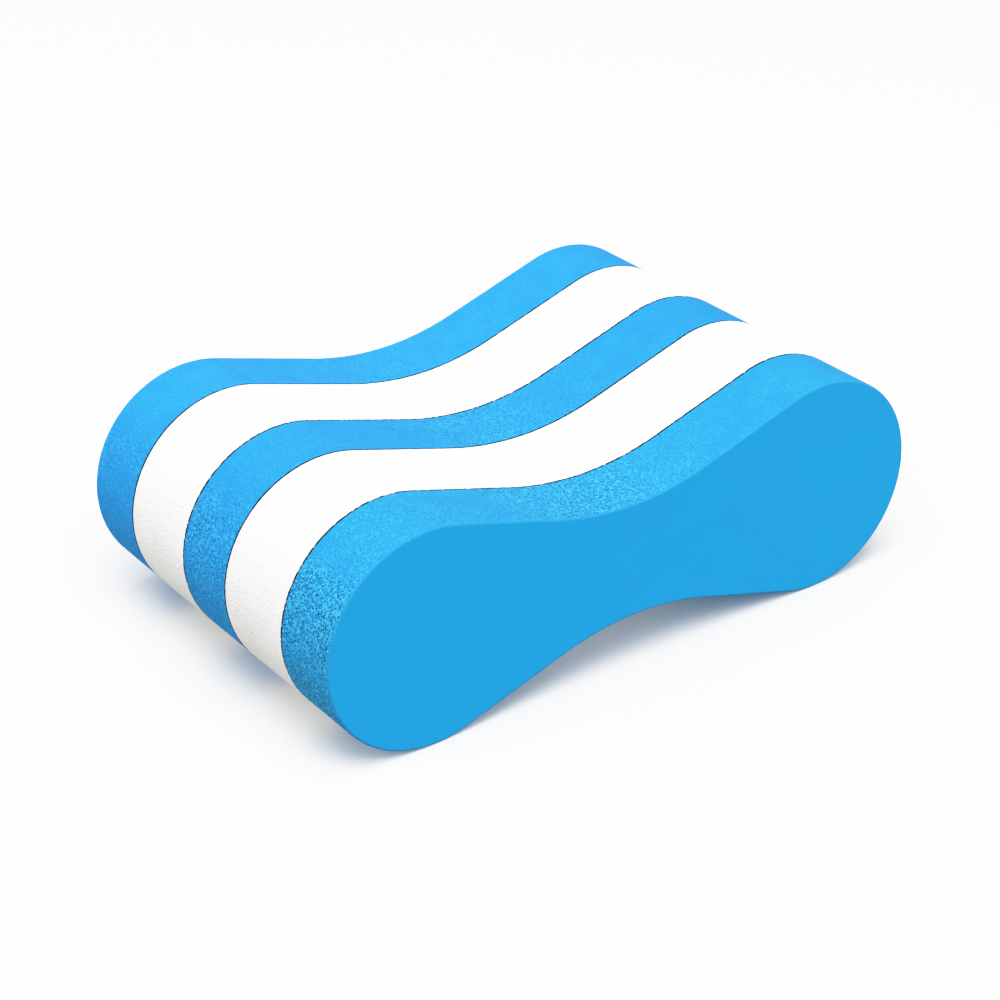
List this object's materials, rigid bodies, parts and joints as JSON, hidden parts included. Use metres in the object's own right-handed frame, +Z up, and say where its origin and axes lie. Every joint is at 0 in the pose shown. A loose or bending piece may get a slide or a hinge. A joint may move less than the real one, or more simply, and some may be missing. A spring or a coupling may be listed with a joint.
{
  "type": "swimming leg float",
  "caption": "Waisted, laminated foam float that a swimmer grips between the thighs to hold the legs up, in bonded blue and white layers.",
  "frame": {"origin": "on the ground, under the middle of the float as it lies on its two lobes", "axes": "+X from the left lobe to the right lobe, +Y through the layers from the front face to the rear face, +Z up"},
  "size_m": [0.225, 0.1408, 0.074],
  "materials": {
    "blue_foam": "matt closed-cell EVA foam, smooth on the sheet faces, finely grained where it is cut",
    "white_foam": "matt closed-cell EVA foam, finely grained where it is cut",
    "adhesive": "dried contact adhesive, dark, satin"
  },
  "bodies": {
    "root": {"front_face_layer": "blue_foam", "front_inner_layer": "white_foam", "core_layer": "blue_foam", "rear_inner_layer": "white_foam", "rear_face_layer": "blue_foam", "front_face_bond": "adhesive", "front_core_bond": "adhesive", "rear_core_bond": "adhesive", "rear_face_bond": "adhesive"}
  },
  "joints": []
}
